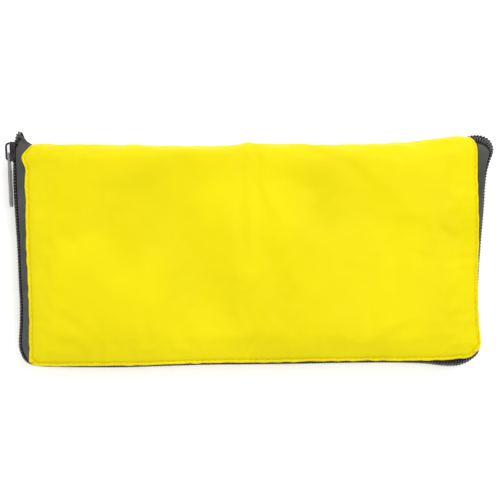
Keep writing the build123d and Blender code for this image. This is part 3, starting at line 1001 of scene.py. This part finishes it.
PATCH_WIDTH = 31.0
hem_z = cad_span("tote_top_hem", "z")[0] + 0.05
front_patch_z = hem_z + 0.37
back_patch_z = cad_span("back_handle_patches", "z")[0] + 0.05
fabric_strips("tote_hem", "tote_top_hem", [flat_grid("tote_top_hem", hem_z, 80.0)])
anchor = [flat_grid("tote_anchor_tape", FIRST - 0.5, 82.0)]
strips("tote_anchor", "tote_anchor_tape", anchor, strap_grey, 0.9)
patches = patch_pair("front_handle_patches", front_patch_z, 84.0, 0.05)
fabric_strips("handle_patch_front", "front_handle_patches", patches)
patches = patch_pair("back_handle_patches", back_patch_z, 86.0, 0.03)
fabric_strips("handle_patch_back", "back_handle_patches", patches)

WEBBING = 1.1  # thickness, mm
HALF_WEBBING = 12.3  # half its width


def strap_layout(node_name):
    """Where the CAD's strap has its top, its crossing and its right leg."""
    top_y = cad_span("front_handle", "y")[1]
    across_y = cad_span(node_name, "y")[0] + HALF_WEBBING + 0.2
    reach = cad_span(node_name, "x")[1] - HALF_WEBBING - 0.2
    return top_y, across_y, reach


def tail_stations(fold_x, top_y, leg_z, tail):
    """The strap's end turns over the tote's top edge and runs down behind it."""
    level = np.ones_like(fold_x)
    drops = ((2.35, tail), (2.35, 3.2), (2.2, 1.4), (1.5, 0.35))
    return [(fold_x, (top_y + y) * level, (leg_z - z) * level) for y, z in drops]


def half_strap(node_name, low, tail):
    """The right leg, its square fold and the crossing as far as the middle."""
    top_y, across_y, reach = strap_layout(node_name)
    a = np.linspace(-1, 1, 13)
    fold_x, fold_y = reach + HALF_WEBBING * a, across_y + HALF_WEBBING * a
    leg_z, cross_z = low + WEBBING / 2, low + WEBBING * 1.5 + 0.15
    level = np.ones_like(a)
    stations = tail_stations(fold_x, top_y, leg_z, tail) if tail else []
    for t in np.linspace(0, 1, 26):
        stations.append((fold_x, top_y + (fold_y - top_y) * t, leg_z * level))
    roll = (cross_z - leg_z) / 2
    for angle in np.radians((-45, 0, 45)):
        out = roll * math.cos(angle) * math.sqrt(0.5)
        z = leg_z + roll + roll * math.sin(angle)
        stations.append((fold_x + out, fold_y - out, z * level))
    for t in np.linspace(0, 1, 14):
        stations.append((fold_x * (1 - t), fold_y, cross_z * level))
    return stations


def strap(name, node_name, low, tail, seed):
    """One webbing strip: down a leg, folded square, across, folded square again and up."""
    right = half_strap(node_name, low, tail)
    left = [(-x, y, z) for x, y, z in right[:-1][::-1]]
    grid = np.stack([np.stack(station, axis=1) for station in right + left])
    a = np.linspace(-1, 1, grid.shape[1])
    grid[..., 2] += perlin(grid[..., 0] / 30, grid[..., 1] / 18, seed) * 0.14
    grid[..., 2] += 0.10 * (1 - np.abs(a)[None, :] ** 2) - 0.05
    piece = sheet_piece(name, slump(grid), strap_grey, WEBBING * 0.94, offset=0.0)
    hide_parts(node_name)
    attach(piece, "back")


front_low, front_high = cad_span("front_handle", "z")
back_tail = front_high + 0.8 - cad_span("back_handle", "z")[0]  # past the tote's top edge
strap("handle_strap_front", "front_handle", front_low, 0, 90.0)
strap("handle_strap_back", "back_handle", front_high, back_tail, 94.0)


# --- Stage ---------------------------------------------------------------------------------------
FLOOR_HALF = 4000.0
FLOOR_GAP = 0.02  # keeps the floor off the back cover's lowest points
CAMERA_HEIGHT = 0.9  # above the zipper, in metres

floor_white = material("floor_white", (0.92, 0.92, 0.92), 0.8, 0.0)
shader_of(floor_white).inputs["Emission Color"].default_value = (1, 1, 1, 1)
shader_of(floor_white).inputs["Emission Strength"].default_value = 0.35
signs = ((-1, -1), (1, -1), (1, 1), (-1, 1))
corners = [(x * FLOOR_HALF, y * FLOOR_HALF, -FLOOR_GAP) for x, y in signs]
mesh_piece("floor", corners, [(0, 1, 2, 3)], floor_white)


def softbox(name, place, target, size, power):
    """A rectangular area light at a place in metres, turned to its target."""
    light = bpy.data.lights.new(name, "AREA")
    light.shape = "RECTANGLE"
    light.size, light.size_y = size
    light.energy = power
    lamp = bpy.data.objects.new(name, light)
    bpy.context.scene.collection.objects.link(lamp)
    lamp.location = place
    lamp.rotation_euler = (Vector(target) - Vector(place)).to_track_quat("-Z", "Y").to_euler()


softbox("key", (0.45, 1.0, 1.0), (0, 0, 0), (1.5, 0.9), 14)
softbox("high_right", (0.42, 0.12, 1.35), (0.05, 0, 0), (0.5, 0.5), 3.2)
softbox("fill_left", (-1.2, -0.1, 1.1), (0, 0, 0), (1.0, 1.4), 6.0)
softbox("fill_front", (0.2, -1.25, 1.15), (0, 0, 0), (1.6, 0.9), 6.0)

world = bpy.data.worlds.new("studio")
world.use_nodes = True
world.node_tree.nodes["Background"].inputs["Color"].default_value = (1, 1, 1, 1)
world.node_tree.nodes["Background"].inputs["Strength"].default_value = 0.36
bpy.context.scene.world = world
bpy.context.scene.view_settings.view_transform = "Standard"

camera_data = bpy.data.cameras.new("camera")
camera_data.lens = 127.0
camera_data.sensor_width = 36.0
camera_data.clip_start = 0.05
camera = bpy.data.objects.new("camera", camera_data)
bpy.context.scene.collection.objects.link(camera)
camera.location = (0, 0, CAMERA_HEIGHT + MID * MM)
camera.rotation_euler = (0, 0, 0)
bpy.context.scene.camera = camera
